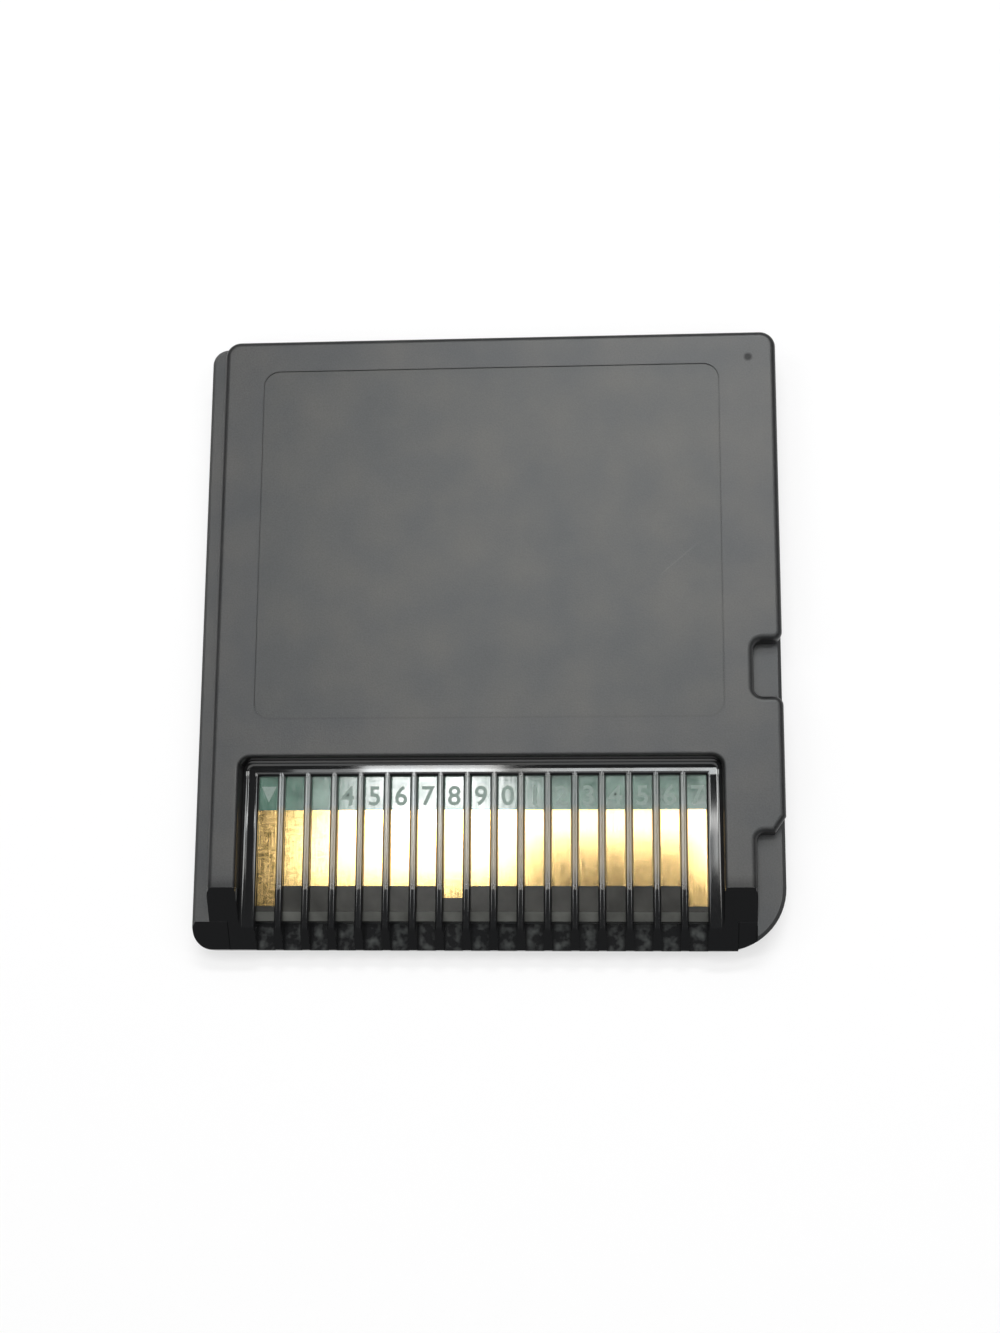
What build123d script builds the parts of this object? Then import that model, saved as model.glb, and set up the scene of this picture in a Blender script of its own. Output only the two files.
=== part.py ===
"""Game card: a two-piece moulded case round a small circuit board with a row of edge contacts.

Frame, in millimetres: the card lies on its label side. X runs across the card, Y runs along it from
the contact end (negative) to the grip end (positive), and Z points up out of the contact side.
The origin is at the middle of the card's footprint, on the surface that it lies on.
"""

from build123d import *

import os

# Contact row
contact_count = 17
contact_pitch = 1.5
rib_width = 0.45  # guard rib between two contacts
rib_height = 0.4  # ribs and shelf stand this far above the board
shelf_width = 0.875  # shelf round the contact row, level with the ribs

# Across the card, from its left edge to its right
side_ledge = 1.0  # front shell that shows beside the rear shell
left_cheek = 1.62  # rear face left of the contact recess
right_cheek = 1.78  # rear face between the recess and the key step
key_step_width = 1.6  # front shell that shows at the keyed corner

# Along the card, measured from the contact end
card_length = 35.0
nose_length = 3.3  # sloped lead-in
key_step_length = 6.25
recess_length = 10.52
notch_distance = 15.37  # middle of the latch notch
notch_length = 3.14
notch_depth = 1.6

# Through the card, from the label side up
floor_thickness = 0.9
board_rest_height = 0.3
board_thickness = 0.8
component_height = 1.0  # tallest part on the board
component_gap = 0.1
rear_wall = 0.7
rear_rim_height = 1.2  # side wall of the rear shell
nose_edge_height = 1.6  # what is left of the thickness at the very end
toe_height = 0.35  # bar that ties the ribs' ends, above the floor

# Walls and fits
case_wall = 1.0
recess_wall = 0.8
tongue_width = 0.5
tongue_height = 0.4
shell_fit = 0.1
frame_fit = 0.03  # closer, because the joint shows at the nose
comb_gap = 0.05
board_clearance = 0.15
toe_gap = 0.12

# Corners and rounded edges
corner_radius = 0.9
heel_radius = 1.0
key_radius = 3.4
key_chamfer_width = 0.6
key_chamfer_length = 0.9
key_inner_radius = 0.4
notch_radius = 0.5
notch_lip_radius = 0.5
recess_radius = 0.6
cavity_corner = 0.3
edge_round = 0.35
seam_bevel = 0.2
label_side_round = 0.35
rim_round = 0.2
foot_round = 0.3
rib_round = 0.45 * rib_width

# Shallow panel on the rear face and label recess on the front
panel_left_margin = 2.37
panel_right_margin = 3.24
panel_top_margin = 1.9
panel_low_margin = 2.17
panel_radius = 0.9
panel_depth = 0.06
label_side_margin = 1.8
label_top_margin = 1.8
label_low_margin = 9.2
label_radius = 1.0
label_depth = 0.15

# Circuit board and its contacts, measured from the board's leading edge
board_inset = 1.59  # leading edge back from the contact end
board_bevel_length = 0.5
board_bevel_depth = 0.3
board_corner = 0.6
pad_thickness = 0.05
pad_clearance = 0.02
pad_start = 6.16
signal_pad_end = 1.93
ground_pad_end = 0.82
sense_pad_end = 1.27
ground_pads = (1, contact_count)
sense_pad = contact_count // 2

# Locating pegs
peg_radius = 0.7
peg_fit = 0.05
peg_inset = 2.4
boss_wall = 0.6
rail_width = 1.2

# Parts on the board
chip_standoff = 0.05
chip_edge = 0.12
lead_thickness = 0.12
lead_foot = 0.4
lead_reach = 0.75
rom_width = 12.0
rom_length = 10.2
rom_leads_per_side = 14
rom_lead_pitch = 0.8
rom_lead_width = 0.3
save_width = 3.0
save_length = 4.4
save_thickness = 0.8
save_leads_per_side = 4
save_lead_pitch = 0.65
save_lead_width = 0.25
chip_spacing = 2.6
capacitor_count = 4
capacitor_size = (1.6, 0.8, 0.7)
resistor_count = 3
resistor_size = (1.0, 0.5, 0.35)
terminal_width = 0.3
terminal_lip = 0.03
passive_pitch = 4.2
passive_distance = 1.6  # a row's middle from the chamber's low wall or the board's high edge

# Places that follow from the sizes
channel_width = contact_pitch - rib_width
row_width = contact_count * contact_pitch - rib_width
recess_width = row_width + 2 * shelf_width
card_width = side_ledge + left_cheek + recess_width + right_cheek + key_step_width
left_edge = -card_width / 2
right_edge = card_width / 2
contact_end = -card_length / 2
grip_end = card_length / 2
rear_left = left_edge + side_ledge
recess_left = rear_left + left_cheek
row_center = recess_left + recess_width / 2
recess_top = contact_end + recess_length
lip_y = recess_top - shelf_width
step_x = right_edge - key_step_width
step_y = contact_end + key_step_length
notch_x = right_edge - notch_depth
notch_low = contact_end + notch_distance - notch_length / 2
notch_high = notch_low + notch_length
crest_y = contact_end + nose_length

board_bottom = floor_thickness + board_rest_height
board_top = board_bottom + board_thickness
ceiling = board_top + component_height + component_gap
card_thickness = ceiling + rear_wall
parting_height = card_thickness - rear_rim_height
shelf_level = board_top + rib_height
comb_bottom = board_top + comb_gap
toe_level = floor_thickness + toe_height

cavity_left = rear_left + case_wall
cavity_right = min(step_x, notch_x) - case_wall
frame_left = cavity_left + frame_fit
frame_right = step_x - case_wall - frame_fit
chamber_low = recess_top + recess_wall
board_left = cavity_left + board_clearance
board_right = cavity_right - board_clearance
board_end = contact_end + board_inset
board_high = grip_end - case_wall - board_clearance
toe_back = board_end - toe_gap
pad_width = channel_width - 2 * pad_clearance

chamber_middle = (chamber_low + board_high) / 2
low_peg = (board_left + peg_inset, chamber_low + peg_inset)
high_peg = (board_right - peg_inset, board_high - peg_inset)
chips_width = rom_width + chip_spacing + save_width
board_middle = (board_left + board_right) / 2
rom_x = board_middle - (chips_width - rom_width) / 2
save_x = board_middle + (chips_width - save_width) / 2
rom_thickness = component_height - chip_standoff
capacitor_y = chamber_low + passive_distance
resistor_y = board_high - passive_distance
margin = 1.0  # how far a cut runs past the faces that it opens


def span(x_low, x_high, y_low, y_high, mode=Mode.ADD):
    """A rectangle between two X values and two Y values."""
    with Locations(((x_low + x_high) / 2, (y_low + y_high) / 2)):
        return Rectangle(x_high - x_low, y_high - y_low, mode=mode)


def rounded_span(x_low, x_high, y_low, y_high, radius):
    """The same with rounded corners."""
    with Locations(((x_low + x_high) / 2, (y_low + y_high) / 2)):
        return RectangleRounded(x_high - x_low, y_high - y_low, radius)


def corners(sketch, *places):
    """The sketch's corners nearest to the given places."""
    return [sketch.vertices().sort_by_distance(place)[0] for place in places]


def rear_plan(inset=0.0):
    """Plan of the rear shell with square corners, drawn in from its edge by inset."""
    with BuildSketch() as plan:
        with BuildLine():
            Polyline(
                (rear_left + inset, contact_end + inset),
                (step_x - inset, contact_end + inset),
                (step_x - inset, step_y + inset),
                (right_edge - inset, step_y + inset),
                (right_edge - inset, notch_low - inset),
                (notch_x - inset, notch_low - inset),
                (notch_x - inset, notch_high + inset),
                (right_edge - inset, notch_high + inset),
                (right_edge - inset, grip_end - inset),
                (rear_left + inset, grip_end - inset),
                close=True,
            )
        make_face()
        if inset:
            chamfer(plan.vertices(), length=cavity_corner)
    return plan.sketch


def nose_section():
    """Side view of what the sloped nose takes off, with Y to the right and Z up."""
    slope = (card_thickness - nose_edge_height) / nose_length
    with BuildSketch() as section:
        with BuildLine():
            Polyline(
                (crest_y + margin, card_thickness + margin * slope),
                (contact_end - margin, nose_edge_height - margin * slope),
                (contact_end - margin, card_thickness + margin * slope),
                close=True,
            )
        make_face()
    return section.sketch


os.makedirs("parts", exist_ok=True)

# Rear outline, with the latch notch, the key step and their rounded corners
with BuildSketch() as rear_outline:
    add(rear_plan())
    fillet(corners(rear_outline, (rear_left, grip_end), (right_edge, grip_end)), radius=corner_radius)
    fillet(corners(rear_outline, (notch_x, notch_low), (notch_x, notch_high)), radius=notch_radius)
    fillet(corners(rear_outline, (right_edge, notch_low), (right_edge, notch_high)), radius=notch_lip_radius)
    fillet(corners(rear_outline, (step_x, step_y)), radius=key_inner_radius)
    key_side = rear_outline.edges().sort_by_distance((right_edge, (step_y + notch_low) / 2))[0]
    chamfer(
        corners(rear_outline, (right_edge, step_y)),
        length=key_chamfer_length,
        length2=key_chamfer_width,
        reference=key_side,
    )

# Front outline, with its large keyed corner
with BuildSketch() as front_outline:
    Rectangle(card_width, card_length)
    fillet(corners(front_outline, (left_edge, grip_end), (right_edge, grip_end)), radius=corner_radius)
    fillet(corners(front_outline, (left_edge, contact_end)), radius=heel_radius)
    fillet(corners(front_outline, (right_edge, contact_end)), radius=key_radius)

# Front shell: tub with a flat floor, rests and pegs for the board, and an open toe
with BuildPart() as front_shell:
    with BuildSketch():
        add(front_outline.sketch)
    extrude(amount=parting_height)
    fillet(front_shell.edges().group_by(Axis.Z)[0], radius=label_side_round)
    chamfer(front_shell.edges().group_by(Axis.Z)[-1], length=seam_bevel)
    with BuildSketch(Plane.XY.offset(floor_thickness)):
        add(rear_plan(case_wall))
        span(cavity_left, step_x - case_wall, contact_end - margin, crest_y)
    extrude(amount=parting_height, mode=Mode.SUBTRACT)
    with BuildSketch(Plane.YZ.offset(step_x)):
        add(nose_section())
    extrude(amount=-card_width, mode=Mode.SUBTRACT)
    with BuildSketch():
        rounded_span(
            left_edge + label_side_margin,
            right_edge - label_side_margin,
            contact_end + label_low_margin,
            grip_end - label_top_margin,
            label_radius,
        )
    extrude(amount=label_depth, mode=Mode.SUBTRACT)
    with BuildSketch(Plane.XY.offset(floor_thickness)):
        span(board_left, board_left + rail_width, board_end, board_high)
        span(board_right - rail_width, board_right, board_end, board_high)
        span(board_left, board_right, lip_y - rail_width / 2, lip_y + rail_width / 2)
        span(board_left, board_right, board_end, board_end + rail_width)
    extrude(amount=board_rest_height)
    with BuildSketch(Plane.XY.offset(floor_thickness)):
        with Locations(low_peg, high_peg):
            Circle(peg_radius)
    extrude(amount=ceiling - component_gap - floor_thickness)
front_shell.part.label = "front_shell"
export_step(front_shell.part, "parts/front_shell.step")

# Rear shell: cover with the ribbed contact window, the tongue and the peg sockets
with BuildPart() as rear_shell:
    with BuildSketch(Plane.XY.offset(parting_height)):
        add(rear_outline.sketch)
    extrude(amount=rear_rim_height)
    fillet(rear_shell.edges().group_by(Axis.Z)[-1], radius=edge_round)

    # Frame round the window, over the board, and the toe that ends on the front shell's floor
    with BuildSketch(Plane.XY.offset(comb_bottom)):
        span(frame_left, frame_right, contact_end, chamber_low)
    extrude(amount=parting_height - comb_bottom)
    with BuildSketch(Plane.XY.offset(floor_thickness)):
        span(frame_left, frame_right, contact_end, toe_back)
    extrude(amount=parting_height - floor_thickness)

    # Sloped nose
    with BuildSketch(Plane.YZ):
        add(nose_section())
    extrude(amount=card_width, both=True, mode=Mode.SUBTRACT)

    # Recess down to the shelf, with a rounded foot and rim
    with BuildSketch(Plane.XY.offset(shelf_level)):
        rounded_span(
            recess_left,
            recess_left + recess_width,
            contact_end - recess_length,
            recess_top,
            recess_radius,
        )
    extrude(amount=card_thickness, mode=Mode.SUBTRACT)
    shelf_edges = rear_shell.edges().filter_by_position(Axis.Z, shelf_level, shelf_level)
    fillet(shelf_edges.filter_by_position(Axis.Y, crest_y, recess_top), radius=foot_round)
    rim_edges = rear_shell.edges().filter_by_position(Axis.Z, card_thickness, card_thickness)
    rim_edges = rim_edges.filter_by_position(Axis.X, recess_left, recess_left + recess_width)
    fillet(rim_edges.filter_by_position(Axis.Y, crest_y, recess_top), radius=rim_round)

    # Channels over the contacts, which leave the guard ribs between them
    with BuildSketch(Plane.XZ.offset(-lip_y)):
        with Locations((row_center, toe_level)):
            with GridLocations(contact_pitch, 0, contact_count, 1):
                Rectangle(channel_width, card_thickness, align=(Align.CENTER, Align.MIN))
    extrude(amount=card_length, mode=Mode.SUBTRACT)
    rib_edges = rear_shell.edges().filter_by_position(Axis.Z, shelf_level, shelf_level)
    rib_edges = rib_edges.filter_by_position(Axis.X, row_center - row_width / 2, row_center + row_width / 2)
    fillet(rib_edges.filter_by_position(Axis.Y, crest_y, lip_y), radius=rib_round)

    # Chamber over the components, and the tongue that drops into the front shell
    with BuildSketch():
        add(rear_plan(case_wall + tongue_width))
        span(left_edge, right_edge, chamber_low, grip_end, mode=Mode.INTERSECT)
    extrude(amount=ceiling, mode=Mode.SUBTRACT)
    with BuildSketch(Plane.XY.offset(parting_height - tongue_height)):
        add(rear_plan(case_wall + shell_fit))
        add(rear_plan(case_wall + tongue_width), mode=Mode.SUBTRACT)
        span(left_edge, right_edge, chamber_low, grip_end, mode=Mode.INTERSECT)
    extrude(amount=tongue_height)

    # Sockets for the pegs
    with BuildSketch(Plane.XY.offset(comb_bottom)):
        with Locations(low_peg, high_peg):
            Circle(peg_radius + boss_wall)
            Circle(peg_radius + peg_fit, mode=Mode.SUBTRACT)
    extrude(amount=ceiling - comb_bottom)

    # Shallow panel on the rear face
    with BuildSketch(Plane.XY.offset(card_thickness)):
        rounded_span(
            rear_left + panel_left_margin,
            right_edge - panel_right_margin,
            recess_top + panel_low_margin,
            grip_end - panel_top_margin,
            panel_radius,
        )
    extrude(amount=-panel_depth, mode=Mode.SUBTRACT)
rear_shell.part.label = "rear_shell"
export_step(rear_shell.part, "parts/rear_shell.step")

# Circuit board, with peg holes and a bevelled leading edge
with BuildPart() as circuit_board:
    with BuildSketch(Plane.XY.offset(board_bottom)) as board_outline:
        span(board_left, board_right, board_end, board_high)
        chamfer(board_outline.vertices(), length=board_corner)
        with Locations(low_peg, high_peg):
            Circle(peg_radius + peg_fit, mode=Mode.SUBTRACT)
    extrude(amount=board_thickness)
    board_face = circuit_board.faces().sort_by(Axis.Z)[-1]
    leading_edge = board_face.edges().filter_by(Axis.X).sort_by(Axis.Y)[0]
    chamfer(leading_edge, length=board_bevel_length, length2=board_bevel_depth, reference=board_face)
circuit_board.part.label = "circuit_board"
export_step(circuit_board.part, "parts/circuit_board.step")

# Gilt contacts; the two ground contacts and the sense contact reach nearer to the board's edge
for number in range(1, contact_count + 1):
    pad_end = signal_pad_end
    if number in ground_pads:
        pad_end = ground_pad_end
    if number == sense_pad:
        pad_end = sense_pad_end
    pad_x = row_center + (number - (contact_count + 1) / 2) * contact_pitch
    with BuildPart() as contact_pad:
        with BuildSketch(Plane.XY.offset(board_top)):
            span(pad_x - pad_width / 2, pad_x + pad_width / 2, board_end + pad_end, board_end + pad_start)
        extrude(amount=pad_thickness)
    contact_pad.part.label = f"contact_pad_{number:02d}"
    export_step(contact_pad.part, f"parts/{contact_pad.part.label}.step")


def chip(name, center_x, width, length, thickness):
    """Moulded package that stands just off the board, with its upper edges broken."""
    with BuildPart() as body:
        with BuildSketch(Plane.XY.offset(board_top + chip_standoff)):
            with Locations((center_x, chamber_middle)):
                Rectangle(width, length)
        extrude(amount=thickness)
        chamfer(body.edges().group_by(Axis.Z)[-1], length=chip_edge)
    body.part.label = name
    export_step(body.part, f"parts/{name}.step")


def chip_leads(name, center_x, length, thickness, count, pitch, width):
    """Two rows of gull-wing leads, from the package's mid height down to the board."""
    exit_y = chamber_middle + length / 2
    exit_z = board_top + chip_standoff + thickness / 2
    foot_y = exit_y + lead_reach
    knee_y = foot_y - lead_foot
    with BuildPart() as leads:
        for index in range(count):
            lead_x = center_x + (index - (count - 1) / 2) * pitch
            with BuildSketch(Plane.YZ.offset(lead_x - width / 2)):
                with BuildLine():
                    Polyline(
                        (exit_y, exit_z),
                        (knee_y + lead_thickness, exit_z),
                        (knee_y + lead_thickness, board_top + lead_thickness),
                        (foot_y, board_top + lead_thickness),
                        (foot_y, board_top),
                        (knee_y, board_top),
                        (knee_y, exit_z - lead_thickness),
                        (exit_y, exit_z - lead_thickness),
                        close=True,
                    )
                make_face()
            extrude(amount=width)
        mirror(about=Plane.XZ.offset(-chamber_middle))
    leads.part.label = name
    export_step(leads.part, f"parts/{name}.step")


def passive_row(name, count, row_y, size):
    """A row of two-ended surface parts, each a ceramic body between two slightly larger terminals."""
    length, width, height = size
    for index in range(count):
        center_x = board_middle + (index - (count - 1) / 2) * passive_pitch
        with BuildPart() as passive:
            with BuildSketch(Plane.XY.offset(board_top)):
                with Locations((center_x, row_y)):
                    Rectangle(length, width)
            extrude(amount=height)
            with BuildSketch(Plane.XY.offset(board_top)):
                with Locations((center_x, row_y)):
                    with GridLocations(length - terminal_width, 0, 2, 1):
                        Rectangle(terminal_width, width + 2 * terminal_lip)
            extrude(amount=height + terminal_lip)
        passive.part.label = f"{name}_{index + 1}"
        export_step(passive.part, f"parts/{passive.part.label}.step")


# Program memory, save memory and the small parts beside them
chip("rom_chip", rom_x, rom_width, rom_length, rom_thickness)
chip_leads(
    "rom_chip_leads",
    rom_x,
    rom_length,
    rom_thickness,
    rom_leads_per_side,
    rom_lead_pitch,
    rom_lead_width,
)
chip("save_chip", save_x, save_width, save_length, save_thickness)
chip_leads(
    "save_chip_leads",
    save_x,
    save_length,
    save_thickness,
    save_leads_per_side,
    save_lead_pitch,
    save_lead_width,
)
passive_row("capacitor", capacitor_count, capacitor_y, capacitor_size)
passive_row("resistor", resistor_count, resistor_y, resistor_size)
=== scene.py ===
"""Game card studio: finishes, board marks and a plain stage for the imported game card."""

import math

import bpy
from bpy.props import FloatProperty, FloatVectorProperty, IntProperty, PointerProperty
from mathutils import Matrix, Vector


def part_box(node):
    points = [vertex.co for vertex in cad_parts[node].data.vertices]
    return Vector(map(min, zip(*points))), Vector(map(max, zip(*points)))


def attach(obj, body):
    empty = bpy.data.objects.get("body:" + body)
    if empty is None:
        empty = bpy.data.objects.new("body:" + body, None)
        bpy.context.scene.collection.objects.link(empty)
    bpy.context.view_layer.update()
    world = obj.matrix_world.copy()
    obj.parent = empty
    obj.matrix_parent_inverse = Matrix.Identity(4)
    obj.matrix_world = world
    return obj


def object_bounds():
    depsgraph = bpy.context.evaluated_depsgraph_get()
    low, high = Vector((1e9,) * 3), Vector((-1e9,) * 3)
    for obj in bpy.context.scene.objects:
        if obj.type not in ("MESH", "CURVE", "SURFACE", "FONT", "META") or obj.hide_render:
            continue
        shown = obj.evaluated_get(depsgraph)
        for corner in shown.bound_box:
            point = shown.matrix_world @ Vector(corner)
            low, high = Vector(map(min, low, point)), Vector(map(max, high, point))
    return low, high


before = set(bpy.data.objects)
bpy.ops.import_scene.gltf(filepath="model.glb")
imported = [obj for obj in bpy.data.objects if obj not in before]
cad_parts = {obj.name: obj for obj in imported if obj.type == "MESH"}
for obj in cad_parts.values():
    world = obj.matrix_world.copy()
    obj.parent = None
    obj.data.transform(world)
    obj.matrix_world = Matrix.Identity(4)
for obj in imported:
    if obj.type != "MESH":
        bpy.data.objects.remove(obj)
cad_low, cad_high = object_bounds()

bl_info = {
    "name": "Game card studio",
    "version": (1, 0, 0),
    "blender": (4, 5, 0),
    "location": "3D View > Sidebar > Game card",
    "description": "Finishes, board marks and a plain stage for a thin game card",
    "category": "Object",
}

MILLIMETRE = 0.001

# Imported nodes, by kind
PAD_COUNT = 17
PADS = [f"contact_pad_{number:02d}" for number in range(1, PAD_COUNT + 1)]
CHIPS = ["rom_chip", "save_chip"]
LEADS = ["rom_chip_leads", "save_chip_leads"]
CAPACITORS = [f"capacitor_{number}" for number in range(1, 5)]
RESISTORS = [f"resistor_{number}" for number in range(1, 4)]

LAMPS = [
    "hot_bar", "left_bar", "cross_bar", "corner_bar", "near_bank",
    "far_bank", "left_strip", "right_strip", "front_fill", "ceiling",
]

# A Mix node's colour sockets share their names with its other sockets, so they are taken by number
MIX_FIRST, MIX_SECOND, MIX_RESULT = 6, 7, 2

# How far noise strays from a half: fine noise, and the cloud behind sheen and polish
NOISE_REACH = 0.2
CLOUD_REACH = 0.15

# Noise values at which a patch starts and is full
TOE_PATCH_NOISE = (0.45, 0.75)
TARNISH_NOISE = (0.3, 0.6)
INK_NOISE = (0.35, 0.6)

# How the two noises that make tarnish dashes are drawn out
ALONG_DASH = (0.5, 2.0, 1.0)
ACROSS_DASH = (1.5, 0.5, 1.0)

# Shares of the contact pitch, from a window's middle, at which the toe patches are full and end
WINDOW_CORE = 1 / 5
WINDOW_EDGE = 1 / 3

# Share of a spot's radius, and of a stroke's half length and half width, that is at full strength
SPOT_CORE = 0.5
STROKE_CORE = (0.5, 0.2)

# How far roughness strays in the finishes of the small parts and the ink
ROUGHNESS_SPREAD = 0.075


def length(name, description, millimetres):
    """A length property with its default given in millimetres."""
    return FloatProperty(
        name=name, description=description, default=millimetres * MILLIMETRE, min=0.0, precision=6,
        unit="LENGTH",
    )


def share(name, description, default):
    """A property between nothing and one."""
    return FloatProperty(
        name=name, description=description, default=default, min=0.0, max=1.0, subtype="FACTOR"
    )


def amount(name, description, default):
    """A plain number from nothing up."""
    return FloatProperty(name=name, description=description, default=default, min=0.0)


def angle(name, description, radians):
    """An angle property."""
    return FloatProperty(name=name, description=description, default=radians, subtype="ANGLE")


def colour(name, description, default):
    """A linear colour property."""
    return FloatVectorProperty(
        name=name, description=description, default=default, min=0.0, max=1.0, size=3, subtype="COLOR"
    )


def place(name, description, default):
    """A place in the scene."""
    return FloatVectorProperty(
        name=name, description=description, default=default, size=3, precision=5, subtype="TRANSLATION"
    )


def spread(name, description, default):
    """A width and a length."""
    return FloatVectorProperty(
        name=name, description=description, default=default, size=2, precision=5, unit="LENGTH"
    )


class CardSizes(bpy.types.PropertyGroup):
    """Places on the card that its finishes follow"""

    skin: length("Skin", "Margin between a zone's border and the surface that it follows", 0.05)
    recess_length: length("Recess length", "Contact recess, measured from the contact end", 10.52)
    shelf_width: length("Shelf width", "Shelf between the recess wall and the first contact channel", 0.875)
    shelf_height: length("Shelf height", "Height of the shelf and the guard ribs above the floor", 2.4)
    channel_gap: length("Channel gap", "Bare board between a contact and its channel's wall", 0.02)
    nose_length: length("Nose length", "Sloped lead-in, measured from the contact end", 3.3)
    ledge_nose: length("Ledge nose", "What the slope takes off the front shell, from the contact end", 1.5)
    key_step: length("Key step", "Width of the keyed corner's ledge", 1.6)
    bevel_length: length("Board bevel", "Bevelled leading edge of the board", 0.5)
    panel_low: place("Panel low", "Low corner of the shallow panel", (-0.01303, -0.00481, 0.0038))
    panel_high: place("Panel high", "High corner of the shallow panel", (0.01316, 0.0156, 0.0038))
    panel_radius: length("Panel radius", "Corner radius of the shallow panel", 0.9)
    gate_mark: place("Gate mark", "Where the plastic was gated", (0.01483, 0.01593, 0.0038))
    gate_radius: length("Gate radius", "Radius of the gate mark", 0.3)
    scratch: place("Scratch", "Middle of the scratch on the panel", (0.01083, 0.00417, 0.0038))
    scratch_length: length("Scratch length", "Length of that scratch", 3.2)
    scratch_width: length("Scratch width", "Width of that scratch", 0.1)
    scratch_turn: angle("Scratch turn", "Direction of that scratch", math.radians(41))


class ShellFinish(bpy.types.PropertyGroup):
    """Moulded case plastic"""

    face: colour("Face", "Colour of the textured faces", (0.012, 0.0122, 0.0126))
    panel: colour("Panel", "Colour of the shallow panel", (0.0122, 0.0124, 0.0116))
    polished: colour("Polished", "Colour of the polished recess and nose", (0.0085, 0.0087, 0.0092))
    # The three rib colours are painted reflections of the mask, the contacts and the laminate beside the
    # ribs
    rib_mask_reflection: colour("Rib by mask", "Guard ribs beside the solder mask", (0.05, 0.062, 0.056))
    rib_gold_reflection: colour("Rib by gold", "Guard ribs beside the contacts", (0.12, 0.085, 0.035))
    rib_low_reflection: colour("Low rib", "Guard ribs in front of the contacts", (0.014, 0.012, 0.009))
    rib_fade: length("Rib fade", "Half the length over which the ribs' colour changes", 0.3)
    rib_low_fade: length("Low rib fade", "How far the low colour reaches beside the contacts", 1.2)
    cool: colour("Cool sheen", "Tint of the cooler patches of sheen", (0.95, 0.985, 1.0))
    warm: colour("Warm sheen", "Tint of the warmer patches of sheen", (1.0, 1.0, 0.97))
    cloud: length("Cloud", "Size of the cloudy patches on the faces", 3.0)
    cloud_shade: share("Cloud shade", "How much those patches lighten and darken the plastic", 0.07)
    # Lighter patches between the ribs' feet, and their size
    toe_patch_colour: colour("Smudged", "Residue between the ribs' feet", (0.06, 0.064, 0.062))
    toe_patch_size: length("Smudge", "Size of the patches of residue", 0.6)
    # Painted highlight in the corner behind the shelf, and its width
    corner_highlight: colour("Dust", "Dust in the corner behind the shelf", (0.2, 0.2, 0.2))
    corner_highlight_width: length("Dust width", "Width of the dusty corner behind the shelf", 0.17)
    face_roughness: share("Face roughness", "Roughness of the textured faces", 0.42)
    face_spread: share("Face spread", "How far that roughness strays", 0.04)
    polished_roughness: share("Polished roughness", "Roughness of the recess and nose", 0.05)
    polished_spread: share("Polished spread", "How far that roughness strays", 0.01)
    rib_roughness: share("Rib roughness", "Roughness of the guard ribs", 0.14)
    rib_gloss: share("Rib gloss", "Mirror share of the guard ribs", 1.0)
    gloss: share("Gloss", "Mirror share of the other plastic", 0.5)
    # Painted shade that darkens the face towards the crest of the nose
    crest: length("Crest", "Length over which the face darkens towards the nose", 0.7)
    crest_shade_strength: share("Crest strength", "How much the face darkens there", 0.4)
    shelf_lean: angle("Shelf lean", "Slight fall of the shelf towards the contacts", 0.0169)
    shelf_edge: length("Shelf edge", "Part of the shelf that falls towards the contacts", 0.38)
    grain: length("Grain", "Size of the spark texture's grain", 0.093)
    grain_depth: length("Grain depth", "Depth of the spark texture", 0.004)
    grain_shade: share("Grain shade", "How much the grain lightens and darkens the plastic", 0.1)
    # A darker line along the panel's edge, measured from its middle
    line_width: length("Line width", "Dust line along the panel's edge, from its middle", 0.1)
    line_strength: share("Line strength", "How much that line darkens the plastic", 0.14)
    gate_strength: share("Gate strength", "How much the gate mark darkens the plastic", 0.6)
    scratch_strength: share("Scratch strength", "How much the scratch lightens the plastic", 0.2)


class BoardFinish(bpy.types.PropertyGroup):
    """Circuit board with its solder mask and print"""

    mask: colour("Mask", "Solder mask over the tracks", (0.015, 0.08, 0.048))
    bare: colour("Bare", "Laminate in front of the contacts", (0.016, 0.016, 0.013))
    bevel: colour("Bevel", "Cut laminate on the leading edge", (0.085, 0.087, 0.08))
    mask_roughness: share("Mask roughness", "Roughness of the solder mask", 0.125)
    bare_roughness: share("Bare roughness", "Roughness of the laminate in front", 0.2)
    board_spread: share("Board spread", "How far those roughnesses stray", 0.03)
    mask_gloss: share("Mask gloss", "Mirror share of the solder mask", 1.0)
    bare_gloss: share("Bare gloss", "Mirror share of the laminate in front", 0.2)
    cloud: length("Cloud", "Size of the cloudy patches on the board", 1.2)
    cloud_shade: share("Cloud shade", "How much those patches lighten and darken the board", 0.25)
    weave: length("Weave", "Glass cloth pitch in the laminate", 0.3)
    weave_depth: length("Weave depth", "Depth of the glass cloth's relief", 0.002)
    thread: amount("Thread", "Length of a thread's marks against their width", 6.0)
    legend: colour("Legend", "Printed marks on the board", (0.16, 0.22, 0.19))
    legend_thin: share("Thin legend", "Brightness of the thinnest ink against the full", 0.8)
    legend_grain: length("Legend grain", "Size of the thin patches in the ink", 0.12)
    legend_roughness: share("Legend roughness", "Roughness of the ink", 0.525)


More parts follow.
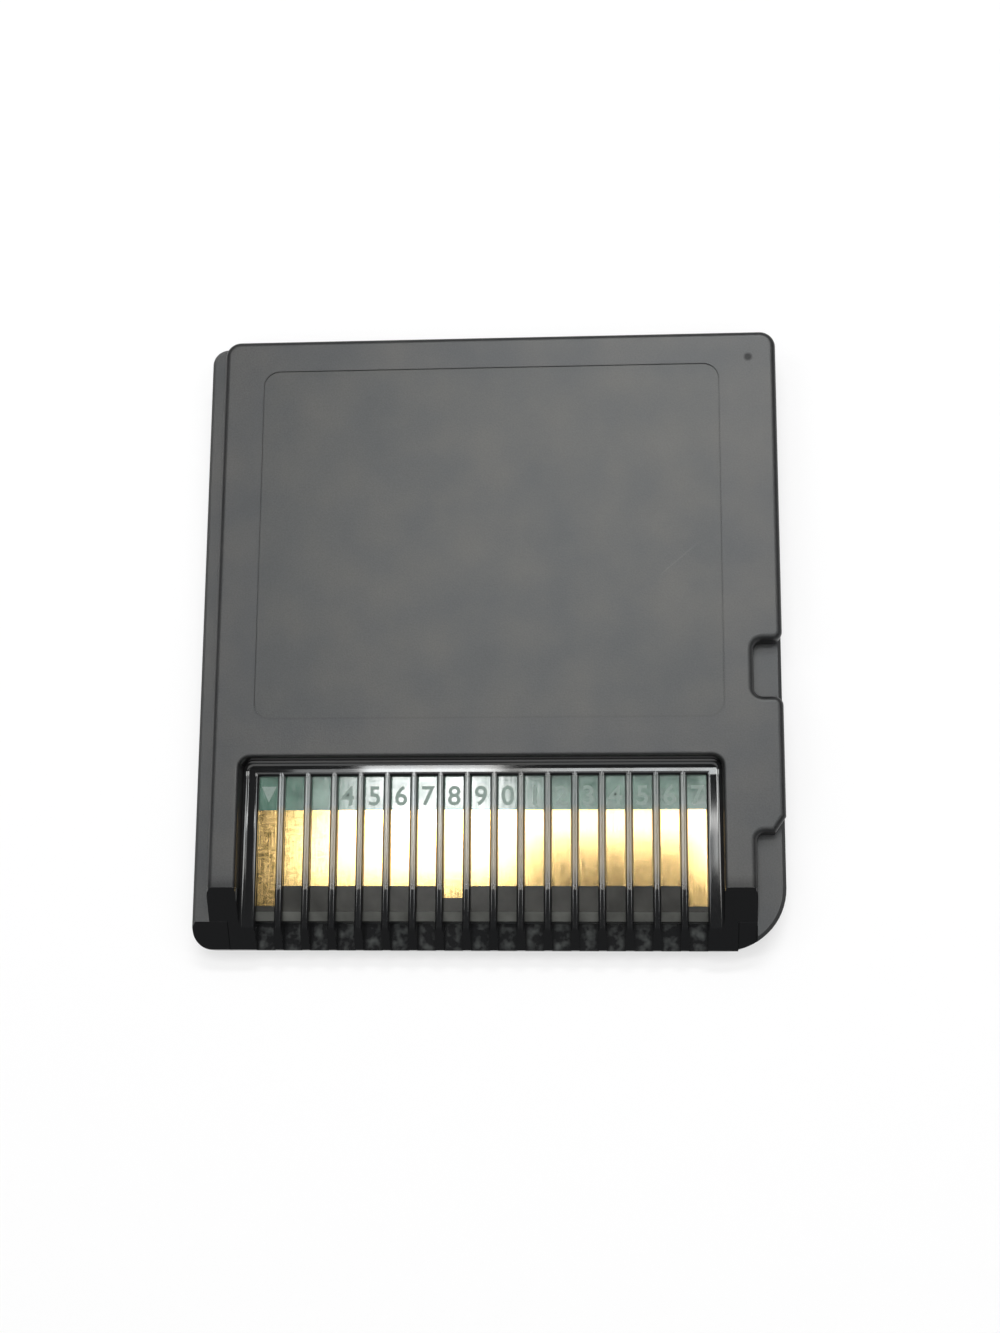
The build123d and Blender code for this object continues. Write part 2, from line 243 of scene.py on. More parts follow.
class ContactFinish(bpy.types.PropertyGroup):
    """Gilt contacts"""

    gold: colour("Gold", "Clean plating", (0.86, 0.6, 0.25))
    stain: colour("Stain", "Tarnish in the weave", (0.42, 0.29, 0.09))
    roughness: share("Roughness", "Roughness of the plating", 0.095)
    roughness_spread: share("Roughness spread", "How far that roughness strays", 0.02)
    streak: length("Streak", "Width of the fine streaks along the contacts", 0.06)
    streak_stretch: amount("Streak stretch", "Length of those streaks against their width", 25.0)
    streak_depth: length("Streak depth", "Depth of those streaks", 0.0003)
    dash: length("Dash", "Length of the tarnish dashes", 0.3)
    first_wear: length("First wear", "How far tarnish reaches from the first contact's outer edge", 5.5)
    tail_start: length("Tail start", "Where wear starts, above the contacts' lower ends", 1.6)
    tail_full: length("Tail full", "Where wear would be full, below the contacts' lower ends", 1.2)
    tail_strength: share("Tail strength", "How strong that wear is", 0.7)


class ComponentFinish(bpy.types.PropertyGroup):
    """Chips, leads and small parts"""

    epoxy_dark: colour("Dark epoxy", "Darker grain of the chips", (0.02, 0.02, 0.021))
    epoxy_light: colour("Light epoxy", "Lighter grain of the chips", (0.035, 0.035, 0.036))
    epoxy_grain: length("Epoxy grain", "Size of the chips' grain", 0.1)
    epoxy_depth: length("Epoxy depth", "Depth of the chips' grain", 0.005)
    epoxy_roughness: share("Epoxy roughness", "Roughness of the chips", 0.575)
    tin_dark: colour("Dark tin", "Darker crystals of the leads", (0.52, 0.52, 0.5))
    tin_light: colour("Light tin", "Lighter crystals of the leads", (0.68, 0.68, 0.66))
    tin_grain: length("Tin grain", "Size of the leads' crystals", 0.08)
    tin_roughness: share("Tin roughness", "Roughness of the leads", 0.375)
    ceramic_dark: colour("Dark ceramic", "Darker specks of the small parts", (0.36, 0.27, 0.18))
    ceramic_light: colour("Light ceramic", "Lighter specks of the small parts", (0.45, 0.35, 0.25))
    ceramic_grain: length("Ceramic grain", "Size of the small parts' specks", 0.12)
    ceramic_roughness: share("Ceramic roughness", "Roughness of the small parts", 0.475)


class MarkSizes(bpy.types.PropertyGroup):
    """Printed marks"""

    ink: length("Ink thickness", "Height of printed ink", 0.012)
    triangle_width: length("Triangle width", "Width of the first contact's mark", 0.85)
    triangle_height: length("Triangle height", "Height of the first contact's mark", 0.9)
    triangle_gap: length("Triangle gap", "Gap between that mark and the contact", 0.45)
    digit_height: length("Digit height", "Type size of the contact numbers", 1.5)
    digit_weight: length("Digit weight", "How much the numbers' strokes are thickened", 0.025)
    digit_gap: length("Digit gap", "Gap between a number and its contact", 0.3)
    first_digit: IntProperty(
        name="First number", description="First contact that carries its number", default=4
    )


class StageSettings(bpy.types.PropertyGroup):
    """Floor, lamps and camera"""

    floor: colour("Floor", "Colour of the floor", (0.3, 0.3, 0.3))
    floor_shade: share("Floor shade", "Brightness of the floor's darker fibres against the rest", 0.98)
    floor_fibre: length("Floor fibre", "Size of the floor's fibres", 3.0)
    floor_roughness: share("Floor roughness", "Roughness of the floor", 0.9)
    floor_glow: share("Floor glow", "White that the floor adds in the picture and in reflections", 0.6)
    floor_size: FloatProperty(name="Floor size", description="Side of the floor", default=6.0, unit="LENGTH")
    world: colour("World", "Dim light from all around", (0.1, 0.1, 0.102))
    hot_bar: place("Hot bar", "Middle of the bright bar on the left", (-0.048, 0.0415, 0.4))
    hot_bar_size: spread("Hot bar size", "Width and length of the bright bar", (0.038, 0.017))
    hot_bar_radiance: amount("Hot bar radiance", "Brightness of the bright bar", 26.0)
    left_bar: place("Left bar", "Middle of the softer bar in front of it", (-0.0545, 0.028, 0.4))
    left_bar_size: spread("Left bar size", "Width and length of the softer bar", (0.063, 0.018))
    left_bar_radiance: amount("Left bar radiance", "Brightness of the softer bar", 4.5)
    cross_bar: place("Cross bar", "Middle of the thin bar that runs to the right", (0.036, 0.035, 0.4))
    cross_bar_size: spread("Cross bar size", "Width and length of the thin bar", (0.12, 0.004))
    cross_bar_radiance: amount("Cross bar radiance", "Brightness of the thin bar", 15.0)
    corner_bar: place("Corner bar", "Middle of the short bar to the right", (0.042, 0.03, 0.4))
    corner_bar_size: spread("Corner bar size", "Width and length of the short bar", (0.026, 0.016))
    corner_bar_radiance: amount("Corner bar radiance", "Brightness of the short bar", 16.0)
    near_bank: place("Near bank", "Middle of the wide bank over the card", (0.0, 0.11, 0.4))
    near_bank_size: spread("Near bank size", "Width and length of the wide bank", (0.2, 0.08))
    near_bank_radiance: amount("Near bank radiance", "Brightness of the wide bank", 11.2)
    far_bank: place("Far bank", "Middle of the bank beyond the card", (0.06, 0.26, 0.4))
    far_bank_size: spread("Far bank size", "Width and length of the bank beyond", (0.2, 0.06))
    far_bank_radiance: amount("Far bank radiance", "Brightness of the bank beyond", 27.0)
    left_strip: place("Left strip", "Middle of the strip far to the left", (-0.33, 0.041, 0.4))
    left_strip_size: spread("Left strip size", "Width and length of that strip", (0.34, 0.032))
    left_strip_radiance: amount("Left strip radiance", "Brightness of that strip", 9.0)
    right_strip: place("Right strip", "Middle of the strip far to the right", (0.34, 0.041, 0.4))
    right_strip_size: spread("Right strip size", "Width and length of that strip", (0.34, 0.032))
    right_strip_radiance: amount("Right strip radiance", "Brightness of that strip", 9.0)
    front_fill: place("Front fill", "Middle of the soft fill in front of the card", (0.0, -0.16, 0.4))
    front_fill_size: spread("Front fill size", "Width and length of the soft fill", (0.5, 0.3))
    front_fill_radiance: amount("Front fill radiance", "Brightness of the soft fill", 1.7)
    ceiling: place("Ceiling", "Middle of the dim ceiling", (0.0, 0.6, 0.6))
    ceiling_size: spread("Ceiling size", "Width and length of the dim ceiling", (1.2, 1.0))
    ceiling_radiance: amount("Ceiling radiance", "Brightness of the dim ceiling", 0.45)
    camera_place: place("Camera place", "Where the camera stands", (0.008438, -0.022094, 0.104887))
    camera_turn: FloatVectorProperty(
        name="Camera turn", description="How the camera is turned",
        default=(math.radians(11.2643), math.radians(4.2663), math.radians(0.3496)), size=3, subtype="EULER",
    )
    focal_length: FloatProperty(name="Focal length", description="Lens for a 36 mm sensor", default=50.146)


class Finish:
    """A node material for one finish, with short calls for the nodes that it needs."""

    def __init__(self, name):
        self.material = bpy.data.materials.new(name)
        self.material.use_nodes = True
        self.tree = self.material.node_tree
        self.shader = self.tree.nodes["Principled BSDF"]
        self.place = self.node("ShaderNodeTexCoord").outputs["Object"]
        axes = self.node("ShaderNodeSeparateXYZ")
        self.feed(self.place, axes.inputs[0])
        self.x, self.y, self.z = axes.outputs

    def node(self, kind, **settings):
        """Add a node with its settings."""
        made = self.tree.nodes.new(kind)
        for key, value in settings.items():
            setattr(made, key, value)
        return made

    def feed(self, value, socket):
        """Join an output to a socket, or set the socket to a plain value."""
        if isinstance(value, bpy.types.NodeSocket):
            self.tree.links.new(value, socket)
        elif isinstance(value, (int, float)):
            socket.default_value = value
        else:
            socket.default_value = (*value, 1.0)[: len(socket.default_value)]

    def set(self, **values):
        """Set or join the shader's sockets, by their names with underscores."""
        for key, value in values.items():
            self.feed(value, self.shader.inputs[key.replace("_", " ")])

    def math(self, operation, first, second=0.0):
        """One sum."""
        made = self.node("ShaderNodeMath", operation=operation)
        self.feed(first, made.inputs[0])
        self.feed(second, made.inputs[1])
        return made.outputs[0]

    def above(self, value, limit):
        """One where the value is over the limit, and nothing elsewhere."""
        return self.math("GREATER_THAN", value, limit)

    def below(self, value, limit):
        """One where the value is under the limit, and nothing elsewhere."""
        return self.math("LESS_THAN", value, limit)

    def product(self, first, *others):
        """All the values multiplied, so that masks show only where they all do."""
        for other in others:
            first = self.math("MULTIPLY", first, other)
        return first

    def between(self, value, low, high):
        """One where the value lies between two limits, and nothing elsewhere."""
        return self.product(self.above(value, low), self.below(value, high))

    def ramp(self, value, low, high, to_low=0.0, to_high=1.0):
        """Spread a value evenly from one range to another."""
        made = self.node("ShaderNodeMapRange")
        for socket, entry in zip(made.inputs, (value, low, high, to_low, to_high)):
            self.feed(entry, socket)
        return made.outputs[0]

    def vary(self, noise, middle, stray, reach=NOISE_REACH):
        """Let noise that strays from a half by the reach carry a value to either side of its middle."""
        return self.ramp(noise, 0.5 - reach, 0.5 + reach, middle - stray, middle + stray)

    def blend(self, factor, first, second):
        """Mix two colours."""
        made = self.node("ShaderNodeMix", data_type="RGBA")
        self.feed(factor, made.inputs["Factor"])
        self.feed(first, made.inputs[MIX_FIRST])
        self.feed(second, made.inputs[MIX_SECOND])
        return made.outputs[MIX_RESULT]

    def shaded(self, base, shade):
        """A colour times a shade."""
        made = self.node("ShaderNodeVectorMath", operation="SCALE")
        self.feed(base, made.inputs[0])
        self.feed(shade, made.inputs["Scale"])
        return made.outputs[0]

    def noise(self, size, detail=2.0, stretch=(1.0, 1.0, 1.0)):
        """Cloudy noise with features of the given size, drawn out by stretch."""
        mapping = self.node("ShaderNodeMapping")
        mapping.inputs["Scale"].default_value = [1.0 / factor for factor in stretch]
        self.feed(self.place, mapping.inputs["Vector"])
        made = self.node("ShaderNodeTexNoise")
        made.inputs["Scale"].default_value = 1.0 / size
        made.inputs["Detail"].default_value = detail
        self.feed(mapping.outputs[0], made.inputs["Vector"])
        return made.outputs["Fac"]

    def apart(self, across, along):
        """Length of two distances at right angles."""
        joined = self.node("ShaderNodeCombineXYZ")
        self.feed(across, joined.inputs[0])
        self.feed(along, joined.inputs[1])
        made = self.node("ShaderNodeVectorMath", operation="LENGTH")
        self.feed(joined.outputs[0], made.inputs[0])
        return made.outputs["Value"]

    def border(self, low, high, radius):
        """Distance from the border of a rectangle with rounded corners, below nothing inside it."""
        sides = []
        for value, start, end in ((self.x, low[0], high[0]), (self.y, low[1], high[1])):
            offset = self.math("ABSOLUTE", self.math("SUBTRACT", value, (start + end) / 2))
            sides.append(self.math("SUBTRACT", offset, (end - start) / 2 - radius))
        outer = self.apart(*[self.math("MAXIMUM", side, 0.0) for side in sides])
        inner = self.math("MINIMUM", self.math("MAXIMUM", *sides), 0.0)
        return self.math("SUBTRACT", self.math("ADD", outer, inner), radius)

    def spot(self, middle, radius):
        """A soft round spot."""
        across = self.math("SUBTRACT", self.x, middle[0])
        along = self.math("SUBTRACT", self.y, middle[1])
        return self.ramp(self.apart(across, along), SPOT_CORE * radius, radius, 1.0, 0.0)

    def stroke(self, middle, turn, long, wide):
        """A soft straight stroke, such as a scratch."""
        mapping = self.node("ShaderNodeMapping", vector_type="TEXTURE")
        mapping.inputs["Location"].default_value = (middle[0], middle[1], 0.0)
        mapping.inputs["Rotation"].default_value = (0.0, 0.0, turn)
        mapping.inputs["Scale"].default_value = (long / 2, wide / 2, 1.0)
        self.feed(self.place, mapping.inputs["Vector"])
        axes = self.node("ShaderNodeSeparateXYZ")
        self.feed(mapping.outputs[0], axes.inputs[0])
        fades = []
        for distance, core in zip(axes.outputs, STROKE_CORE):
            fades.append(self.ramp(self.math("ABSOLUTE", distance), core, 1.0, 1.0, 0.0))
        return self.product(*fades)

    def bump(self, height, depth):
        """Normals from a height that is worth depth at one."""
        made = self.node("ShaderNodeBump")
        made.inputs["Distance"].default_value = depth
        self.feed(height, made.inputs["Height"])
        self.set(Normal=made.outputs[0])


def dress(node, material):
    """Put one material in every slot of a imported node."""
    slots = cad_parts[node].material_slots
    if not slots:
        raise RuntimeError(f"{node} has no material slot")
    for slot in slots:
        slot.material = material


class ShellPlastic(Finish):
    """Spark-textured plastic that can be marked, polished, ribbed and leaned before it is completed."""

    def __init__(self, name, look):
        super().__init__(name)
        self.look = look
        self.cloud = self.noise(look.cloud, detail=4.0)
        self.grain = self.noise(look.grain)
        patches = self.vary(self.cloud, 1.0, look.cloud_shade)
        self.shade = self.product(patches, self.vary(self.grain, 1.0, look.grain_shade))
        self.base = look.face
        self.polish_colour = look.polished
        self.rib = None
        self.lean = None

    def darken(self, mask, strength):
        """Darken the textured plastic where the mask says."""
        self.shade = self.product(self.shade, self.math("SUBTRACT", 1.0, self.product(mask, strength)))

    def lighten(self, mask, strength):
        """Lighten the textured plastic where the mask says."""
        self.shade = self.math("ADD", self.shade, self.product(mask, strength))

    def complete(self, polish):
        """Join texture, polish, ribs and lean into the shader."""
        look = self.look
        matte = self.math("SUBTRACT", 1.0, polish)
        gloss = self.product(self.math("ADD", self.product(self.shade, matte), polish), look.gloss)
        smooth = self.vary(self.cloud, look.polished_roughness, look.polished_spread, CLOUD_REACH)
        if self.rib is not None:
            rougher = self.product(self.rib, look.rib_roughness - look.polished_roughness)
            smooth = self.math("ADD", smooth, rougher)
            gloss = self.math("ADD", gloss, self.product(self.rib, look.rib_gloss - look.gloss))
        rough = self.product(self.vary(self.grain, look.face_roughness, look.face_spread), matte)
        relief = self.product(self.grain, matte, look.grain_depth)
        if self.lean is not None:
            relief = self.math("ADD", relief, self.lean)
        warmth = self.vary(self.cloud, 0.5, 0.5, CLOUD_REACH)
        self.set(
            Base_Color=self.blend(polish, self.shaded(self.base, self.shade), self.polish_colour),
            Specular_IOR_Level=gloss,
            Specular_Tint=self.blend(warmth, look.cool, look.warm),
            Roughness=self.math("ADD", rough, self.product(smooth, polish)),
        )
        self.bump(relief, 1.0)
        return self.material


class RearPlastic(ShellPlastic):
    """Contact side: polished recess and nose, ribs with painted reflections, painted shade towards the
    crest, a painted highlight in the shelf corner, and the marks of making and use.
    """

    def __init__(self, sizes, look):
        super().__init__("rear_shell_plastic", look)
        self.sizes = sizes
        contact_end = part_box("front_shell")[0].y
        self.recess_y = contact_end + sizes.recess_length
        self.lip_y = self.recess_y - sizes.shelf_width
        self.crest_y = contact_end + sizes.nose_length
        self.first_low, self.first_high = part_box(PADS[0])
        self.pad_low, self.pad_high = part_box(PADS[1])
        self.last_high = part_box(PADS[-1])[1]
        self.row = self.beside_row(sizes.channel_gap)
        self.recess = self.product(
            self.beside_row(sizes.shelf_width + sizes.channel_gap - sizes.skin),
            self.below(self.z, cad_high[2] - sizes.skin),
            self.below(self.y, self.recess_y + sizes.skin),
        )
        self.rib = self.product(self.between(self.y, self.crest_y, self.lip_y), self.row)

    def beside_row(self, margin):
        """One over the row of contacts and up to a margin beside it."""
        return self.between(self.x, self.first_low.x - margin, self.last_high.x + margin)

    def paint_crest_shade(self):
        """Painted shade: darken the face towards the crest of the nose."""
        towards = self.ramp(self.y, self.crest_y + self.look.crest, self.crest_y)
        self.darken(towards, self.look.crest_shade_strength)

    def lean_shelf(self):
        """Let the edge of the shelf fall slightly towards the contacts."""
        beyond = self.math("SUBTRACT", self.y, self.lip_y + self.look.shelf_edge)
        fall = self.product(self.math("MINIMUM", beyond, 0.0), math.tan(self.look.shelf_lean))
        self.lean = self.product(fall, self.recess, self.above(self.y, self.lip_y))

    def paint_corner_highlight(self):
        """Painted highlight: a pale line in the corner between the shelf and the recess wall, standing in
        for the light on the wall's rounded foot.
        """
        width = self.look.corner_highlight_width
        corner = self.ramp(self.y, self.recess_y - width, self.recess_y - width / 2)
        foot = self.below(self.z, self.sizes.shelf_height + width)
        highlit = self.product(corner, self.recess, foot)
        self.polish_colour = self.blend(highlit, self.polish_colour, self.look.corner_highlight)

    def paint_rib_reflections(self):
        """Painted reflection: colour the ribs as though they mirrored the mask, the contacts and the
        laminate beside them.
        """
        look = self.look
        by_mask = self.ramp(self.y, self.pad_high.y - look.rib_fade, self.pad_high.y + look.rib_fade)
        by_gold = self.ramp(self.y, self.pad_low.y - look.rib_fade, self.pad_low.y + look.rib_low_fade)
        upper = self.blend(by_mask, look.rib_gold_reflection, look.rib_mask_reflection)
        rib_reflection = self.blend(by_gold, look.rib_low_reflection, upper)
        self.polish_colour = self.blend(self.rib, self.polish_colour, rib_reflection)

    def lighten_toe_windows(self):
        """Lighter patches in the windows between the ribs' feet."""
        pitch = (self.last_high.x - self.first_high.x) / (PAD_COUNT - 1)
        first_x = (self.first_low.x + self.first_high.x) / 2
        from_middle = self.math("PINGPONG", self.math("SUBTRACT", self.x, first_x), pitch / 2)
        window = self.ramp(from_middle, WINDOW_EDGE * pitch, WINDOW_CORE * pitch)
        patches = self.ramp(self.noise(self.look.toe_patch_size), *TOE_PATCH_NOISE)
        lightening = self.product(patches, window, self.below(self.y, self.pad_low.y), self.row)
        self.polish_colour = self.blend(lightening, self.polish_colour, self.look.toe_patch_colour)

    def mark_panel(self):
        """The panel's colour and the darker line along its edge, the gate mark and the scratch."""
        look, sizes = self.look, self.sizes
        border = self.border(sizes.panel_low, sizes.panel_high, sizes.panel_radius)
        self.base = self.blend(self.below(border, 0.0), look.face, look.panel)
        line = self.ramp(self.math("ABSOLUTE", border), 0.0, look.line_width, 1.0, 0.0)
        self.darken(line, look.line_strength)
        self.darken(self.spot(sizes.gate_mark, sizes.gate_radius), look.gate_strength)
        scratch = self.stroke(sizes.scratch, sizes.scratch_turn, sizes.scratch_length, sizes.scratch_width)
        self.lighten(scratch, look.scratch_strength)

    def finished(self):
        """Polish the recess and the nose and complete the material."""
        nose = self.ramp(self.y, self.crest_y + self.sizes.skin, self.crest_y - self.sizes.skin)
        return self.complete(self.math("MAXIMUM", self.recess, nose))


class CARD_OT_finish_shells(bpy.types.Operator):
    """Give both shells their textured faces and their polished recess and nose"""

    bl_idname = "card.finish_shells"
    bl_label = "Finish shells"

    def rear_material(self, sizes, look):
        """Contact side, with all its marks and its painted shade, painted highlight and painted reflections.
        """
        plastic = RearPlastic(sizes, look)
        # Painted shade towards the crest of the nose
        plastic.paint_crest_shade()
        plastic.lean_shelf()
        # Painted highlight in the corner behind the shelf
        plastic.paint_corner_highlight()
        # Painted reflections of the mask, contacts and laminate on the ribs
        plastic.paint_rib_reflections()
        # Lighter patches between the ribs' feet
        plastic.lighten_toe_windows()
        plastic.mark_panel()
        return plastic.finished()

    def front_material(self, sizes, look):
        """Label side: textured, with a polished lead-in up to the keyed corner."""
        low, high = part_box("front_shell")
        plastic = ShellPlastic("front_shell_plastic", look)
        along = plastic.below(plastic.y, low.y + sizes.ledge_nose)
        across = plastic.below(plastic.x, high.x - sizes.key_step)
        return plastic.complete(plastic.product(along, across))

    def execute(self, context):
        sizes = context.scene.card_sizes
        look = context.scene.card_shell
        dress("rear_shell", self.rear_material(sizes, look))
        dress("front_shell", self.front_material(sizes, look))
        return {"FINISHED"}


class CARD_OT_finish_board(bpy.types.Operator):
    """Give the board its solder mask, bare front strip and cut edge"""

    bl_idname = "card.finish_board"
    bl_label = "Finish board"

    def execute(self, context):
        look = context.scene.card_board
        leading_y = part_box("circuit_board")[0].y
        pad_low, pad_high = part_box(PADS[1])
        laminate = Finish("board_laminate")
        masked = laminate.above(laminate.y, (pad_low.y + pad_high.y) / 2)
        bevelled = laminate.below(laminate.y, leading_y + context.scene.card_sizes.bevel_length)
        cloud = laminate.noise(look.cloud, detail=3.0)
        warp = laminate.noise(look.weave, detail=1.0, stretch=(1.0, look.thread, 1.0))
        weft = laminate.noise(look.weave, detail=1.0, stretch=(look.thread, 1.0, 1.0))
        front = laminate.blend(bevelled, look.bare, look.bevel)
        base = laminate.blend(masked, front, look.mask)
        rough = laminate.ramp(masked, 0.0, 1.0, look.bare_roughness, look.mask_roughness)
        laminate.set(
            Base_Color=laminate.shaded(base, laminate.vary(cloud, 1.0, look.cloud_shade)),
            Roughness=laminate.math("ADD", rough, laminate.vary(cloud, 0.0, look.board_spread)),
            Specular_IOR_Level=laminate.ramp(masked, 0.0, 1.0, look.bare_gloss, look.mask_gloss),
        )
        laminate.bump(laminate.math("ADD", warp, weft), look.weave_depth)
        dress("circuit_board", laminate.material)
        return {"FINISHED"}


class CARD_OT_finish_contacts(bpy.types.Operator):
    """Give the contacts their rubbed and spotted plating"""

    bl_idname = "card.finish_contacts"
    bl_label = "Finish contacts"

    def tarnish(self, gold, look):
        """Share of tarnish: dashes that fade from the first contact and from the lower ends."""
        warp = gold.noise(look.dash, detail=1.0, stretch=ALONG_DASH)
        weft = gold.noise(look.dash, detail=1.0, stretch=ACROSS_DASH)
        first_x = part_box(PADS[0])[0].x
        low_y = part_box(PADS[1])[0].y
        first = gold.ramp(gold.x, first_x, first_x + look.first_wear, 1.0, 0.0)
        tail = gold.ramp(gold.y, low_y + look.tail_start, low_y - look.tail_full)
        wear = gold.math("MAXIMUM", first, gold.product(tail, look.tail_strength))
        return gold.product(wear, gold.ramp(warp, *TARNISH_NOISE), gold.ramp(weft, *TARNISH_NOISE))

    def execute(self, context):
        look = context.scene.card_contacts
        gold = Finish("contact_gold")
        streak = gold.noise(look.streak, stretch=(1.0, look.streak_stretch, 1.0))
        gold.set(
            Base_Color=gold.blend(self.tarnish(gold, look), look.gold, look.stain),
            Metallic=1.0,
            Roughness=gold.vary(streak, look.roughness, look.roughness_spread),
        )
        gold.bump(streak, look.streak_depth)
        for pad in PADS:
            dress(pad, gold.material)
        return {"FINISHED"}


def speckled(name, dark, light, grain, roughness, detail=3.0):
    """A finish whose colour and roughness follow one noise, and that noise."""
    finish = Finish(name)
    speckle = finish.noise(grain, detail)
    finish.set(
        Base_Color=finish.blend(speckle, dark, light),
        Roughness=finish.vary(speckle, roughness, ROUGHNESS_SPREAD),
    )
    return finish, speckle


class CARD_OT_finish_components(bpy.types.Operator):
    """Give the chips, their leads and the small parts their finishes"""

    bl_idname = "card.finish_components"
    bl_label = "Finish components"

    def execute(self, context):
        look = context.scene.card_components
        epoxy, grain = speckled(
            "chip_epoxy", look.epoxy_dark, look.epoxy_light, look.epoxy_grain, look.epoxy_roughness
        )
        epoxy.bump(grain, look.epoxy_depth)
        tin, _ = speckled(
            "lead_tin", look.tin_dark, look.tin_light, look.tin_grain, look.tin_roughness, detail=2.0
        )
        tin.set(Metallic=1.0)
        ceramic, _ = speckled(
            "small_part_ceramic", look.ceramic_dark, look.ceramic_light, look.ceramic_grain,
            look.ceramic_roughness,
        )
        for group, finish in ((CHIPS, epoxy), (LEADS, tin), (CAPACITORS + RESISTORS, ceramic)):
            for node in group:
                dress(node, finish.material)
        return {"FINISHED"}


def legend_material(look):
    """Thin printed ink with slightly uneven cover, made once."""
    name = "legend_ink"
    if name in bpy.data.materials:
        return bpy.data.materials[name]
    ink = Finish(name)
    cover = ink.noise(look.legend_grain, detail=3.0)
    thin = [look.legend_thin * channel for channel in look.legend]
    ink.set(
        Base_Color=ink.blend(ink.ramp(cover, *INK_NOISE), thin, look.legend),
        Roughness=ink.vary(cover, look.legend_roughness, ROUGHNESS_SPREAD),
    )
    return ink.material


def settle(piece, material):
    """Apply a finished piece's place, dress it and tie it to the card."""
    bpy.ops.object.select_all(action="DESELECT")
    piece.select_set(True)
    bpy.context.view_layer.objects.active = piece
    bpy.ops.object.transform_apply(location=True, rotation=True, scale=True)
    piece.data.materials.clear()
    piece.data.materials.append(material)
    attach(piece, "root")


class CARD_OT_mark_first_contact(bpy.types.Operator):
    """Print the triangle that points at the first contact"""

    bl_idname = "card.mark_first_contact"
    bl_label = "Mark first contact"

    def execute(self, context):
        marks = context.scene.card_marks
        low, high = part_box(PADS[0])
        board_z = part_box("circuit_board")[1].z

        # A triangle in a circle of radius one, whose middle is two thirds of its height from the tip
        unit_width, unit_height = math.sqrt(3), 1.5
        middle_y = high.y + marks.triangle_gap + 2 * marks.triangle_height / 3
        bpy.ops.object.select_all(action="DESELECT")
        bpy.ops.mesh.primitive_cylinder_add(
            vertices=3, radius=1.0, depth=marks.ink, rotation=(0, 0, math.pi),
            location=((low.x + high.x) / 2, middle_y, board_z + marks.ink / 2),
        )
        triangle = context.object
        triangle.name = "first_contact_mark"
        triangle.scale = (marks.triangle_width / unit_width, marks.triangle_height / unit_height, 1.0)
        bpy.ops.object.transform_apply(location=False, rotation=True, scale=True)
        bpy.ops.object.mode_set(mode="EDIT")
        bpy.ops.mesh.select_all(action="SELECT")
        bpy.ops.mesh.bevel(offset=marks.ink / 3, segments=1, affect="EDGES")
        bpy.ops.object.mode_set(mode="OBJECT")
        settle(triangle, legend_material(context.scene.card_board))
        return {"FINISHED"}


class CARD_OT_number_contacts(bpy.types.Operator):
    """Print the last digit of each contact's number above it, from the first numbered contact on"""

    bl_idname = "card.number_contacts"
    bl_label = "Number contacts"

    def execute(self, context):
        marks = context.scene.card_marks
        ink = legend_material(context.scene.card_board)
        board_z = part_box("circuit_board")[1].z
        for number in range(marks.first_digit, PAD_COUNT + 1):
            low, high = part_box(PADS[number - 1])
            bpy.ops.object.select_all(action="DESELECT")
            bpy.ops.object.text_add(location=((low.x + high.x) / 2, high.y + marks.digit_gap, board_z))
            text = context.object.data
            text.body = str(number % 10)
            text.align_x = "CENTER"
            text.size = marks.digit_height
            text.offset = marks.digit_weight
            text.extrude = marks.ink
            bpy.ops.object.convert(target="MESH")
            digit = context.object
            digit.name = f"contact_number_{number:02d}"
            settle(digit, ink)
        return {"FINISHED"}


def floor_material(stage):
    """Pale floor that shows white in the picture and keeps a soft shadow."""
    floor = Finish("floor_paper")
    fibre = floor.noise(stage.floor_fibre, detail=3.0)
    darker = [stage.floor_shade * channel for channel in stage.floor]
    path = floor.node("ShaderNodeLightPath")
    seen = floor.math("MAXIMUM", path.outputs["Is Camera Ray"], path.outputs["Is Glossy Ray"])
    seen = floor.math("MAXIMUM", seen, path.outputs["Is Transmission Ray"])
    floor.set(
        Base_Color=floor.blend(fibre, darker, stage.floor),
        Roughness=stage.floor_roughness,
        Emission_Color=(1.0, 1.0, 1.0),
        Emission_Strength=floor.product(seen, stage.floor_glow),
    )
    return floor.material


def hang_lamp(name, middle, size, radiance):
    """Hang a flat lamp that shines straight down."""
    bpy.ops.object.light_add(type="AREA", location=middle)
    lamp = bpy.context.object
    lamp.name = name
    lamp.data.shape = "RECTANGLE"
    lamp.data.size, lamp.data.size_y = size
    lamp.data.energy = radiance * math.pi * size[0] * size[1]


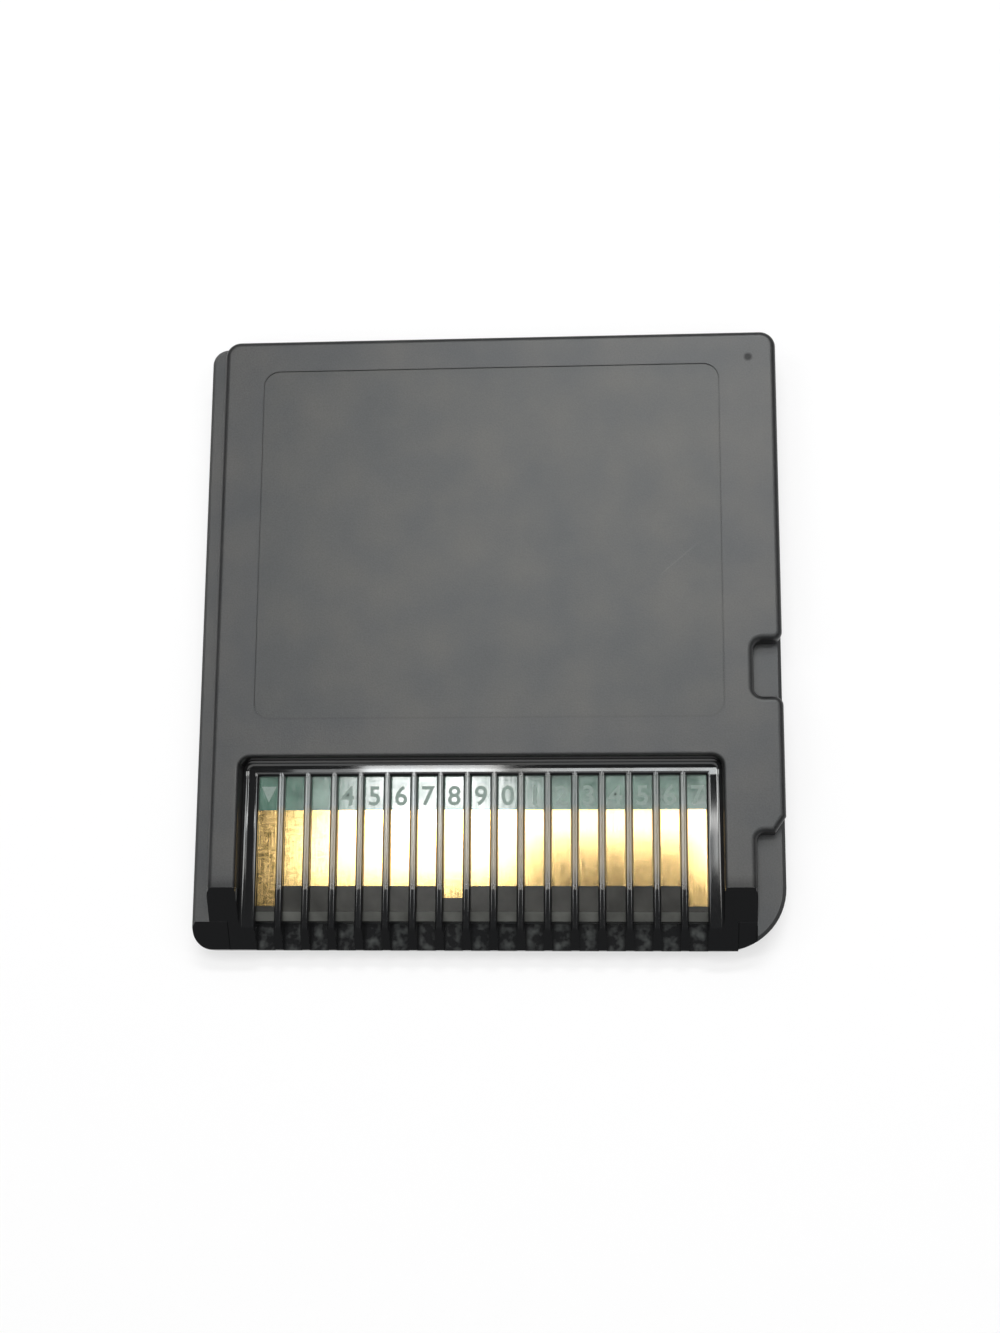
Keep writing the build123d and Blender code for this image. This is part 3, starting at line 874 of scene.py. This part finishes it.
class CARD_OT_set_stage(bpy.types.Operator):
    """Lay the floor and place the lamps and the camera"""

    bl_idname = "card.set_stage"
    bl_label = "Set stage"

    def execute(self, context):
        stage = context.scene.card_stage
        bpy.ops.object.select_all(action="DESELECT")
        bpy.ops.mesh.primitive_plane_add(size=stage.floor_size, location=(0, 0, cad_low[2]))
        floor = context.object
        floor.name = "floor"
        floor.data.materials.append(floor_material(stage))

        for name in LAMPS:
            size = getattr(stage, f"{name}_size")
            radiance = getattr(stage, f"{name}_radiance")
            hang_lamp(name, getattr(stage, name), size, radiance)

        world = bpy.data.worlds.new("studio")
        world.use_nodes = True
        world.node_tree.nodes["Background"].inputs["Color"].default_value = (*stage.world, 1.0)
        context.scene.world = world

        bpy.ops.object.camera_add(location=stage.camera_place, rotation=stage.camera_turn)
        camera = context.object
        camera.data.lens = stage.focal_length
        camera.data.clip_start = MILLIMETRE
        context.scene.camera = camera
        context.scene.view_settings.view_transform = "Standard"
        return {"FINISHED"}


class CARD_PT_studio(bpy.types.Panel):
    """Buttons for each step"""

    bl_idname = "CARD_PT_studio"
    bl_label = "Game card"
    bl_space_type = "VIEW_3D"
    bl_region_type = "UI"
    bl_category = "Game card"

    def draw(self, context):
        for operator in OPERATORS:
            self.layout.operator(operator.bl_idname)


GROUPS = {
    "card_sizes": CardSizes,
    "card_shell": ShellFinish,
    "card_board": BoardFinish,
    "card_contacts": ContactFinish,
    "card_components": ComponentFinish,
    "card_marks": MarkSizes,
    "card_stage": StageSettings,
}
OPERATORS = [
    CARD_OT_finish_shells,
    CARD_OT_finish_board,
    CARD_OT_finish_contacts,
    CARD_OT_finish_components,
    CARD_OT_mark_first_contact,
    CARD_OT_number_contacts,
    CARD_OT_set_stage,
]


def register():
    for name, group in GROUPS.items():
        bpy.utils.register_class(group)
        setattr(bpy.types.Scene, name, PointerProperty(type=group))
    for operator in OPERATORS:
        bpy.utils.register_class(operator)
    bpy.utils.register_class(CARD_PT_studio)


def unregister():
    bpy.utils.unregister_class(CARD_PT_studio)
    for operator in reversed(OPERATORS):
        bpy.utils.unregister_class(operator)
    for name, group in reversed(list(GROUPS.items())):
        delattr(bpy.types.Scene, name)
        bpy.utils.unregister_class(group)


def main():
    register()
    bpy.ops.card.finish_shells()
    bpy.ops.card.finish_board()
    bpy.ops.card.finish_contacts()
    bpy.ops.card.finish_components()
    bpy.ops.card.mark_first_contact()
    bpy.ops.card.number_contacts()
    bpy.ops.card.set_stage()


if __name__ == "__main__":
    main()
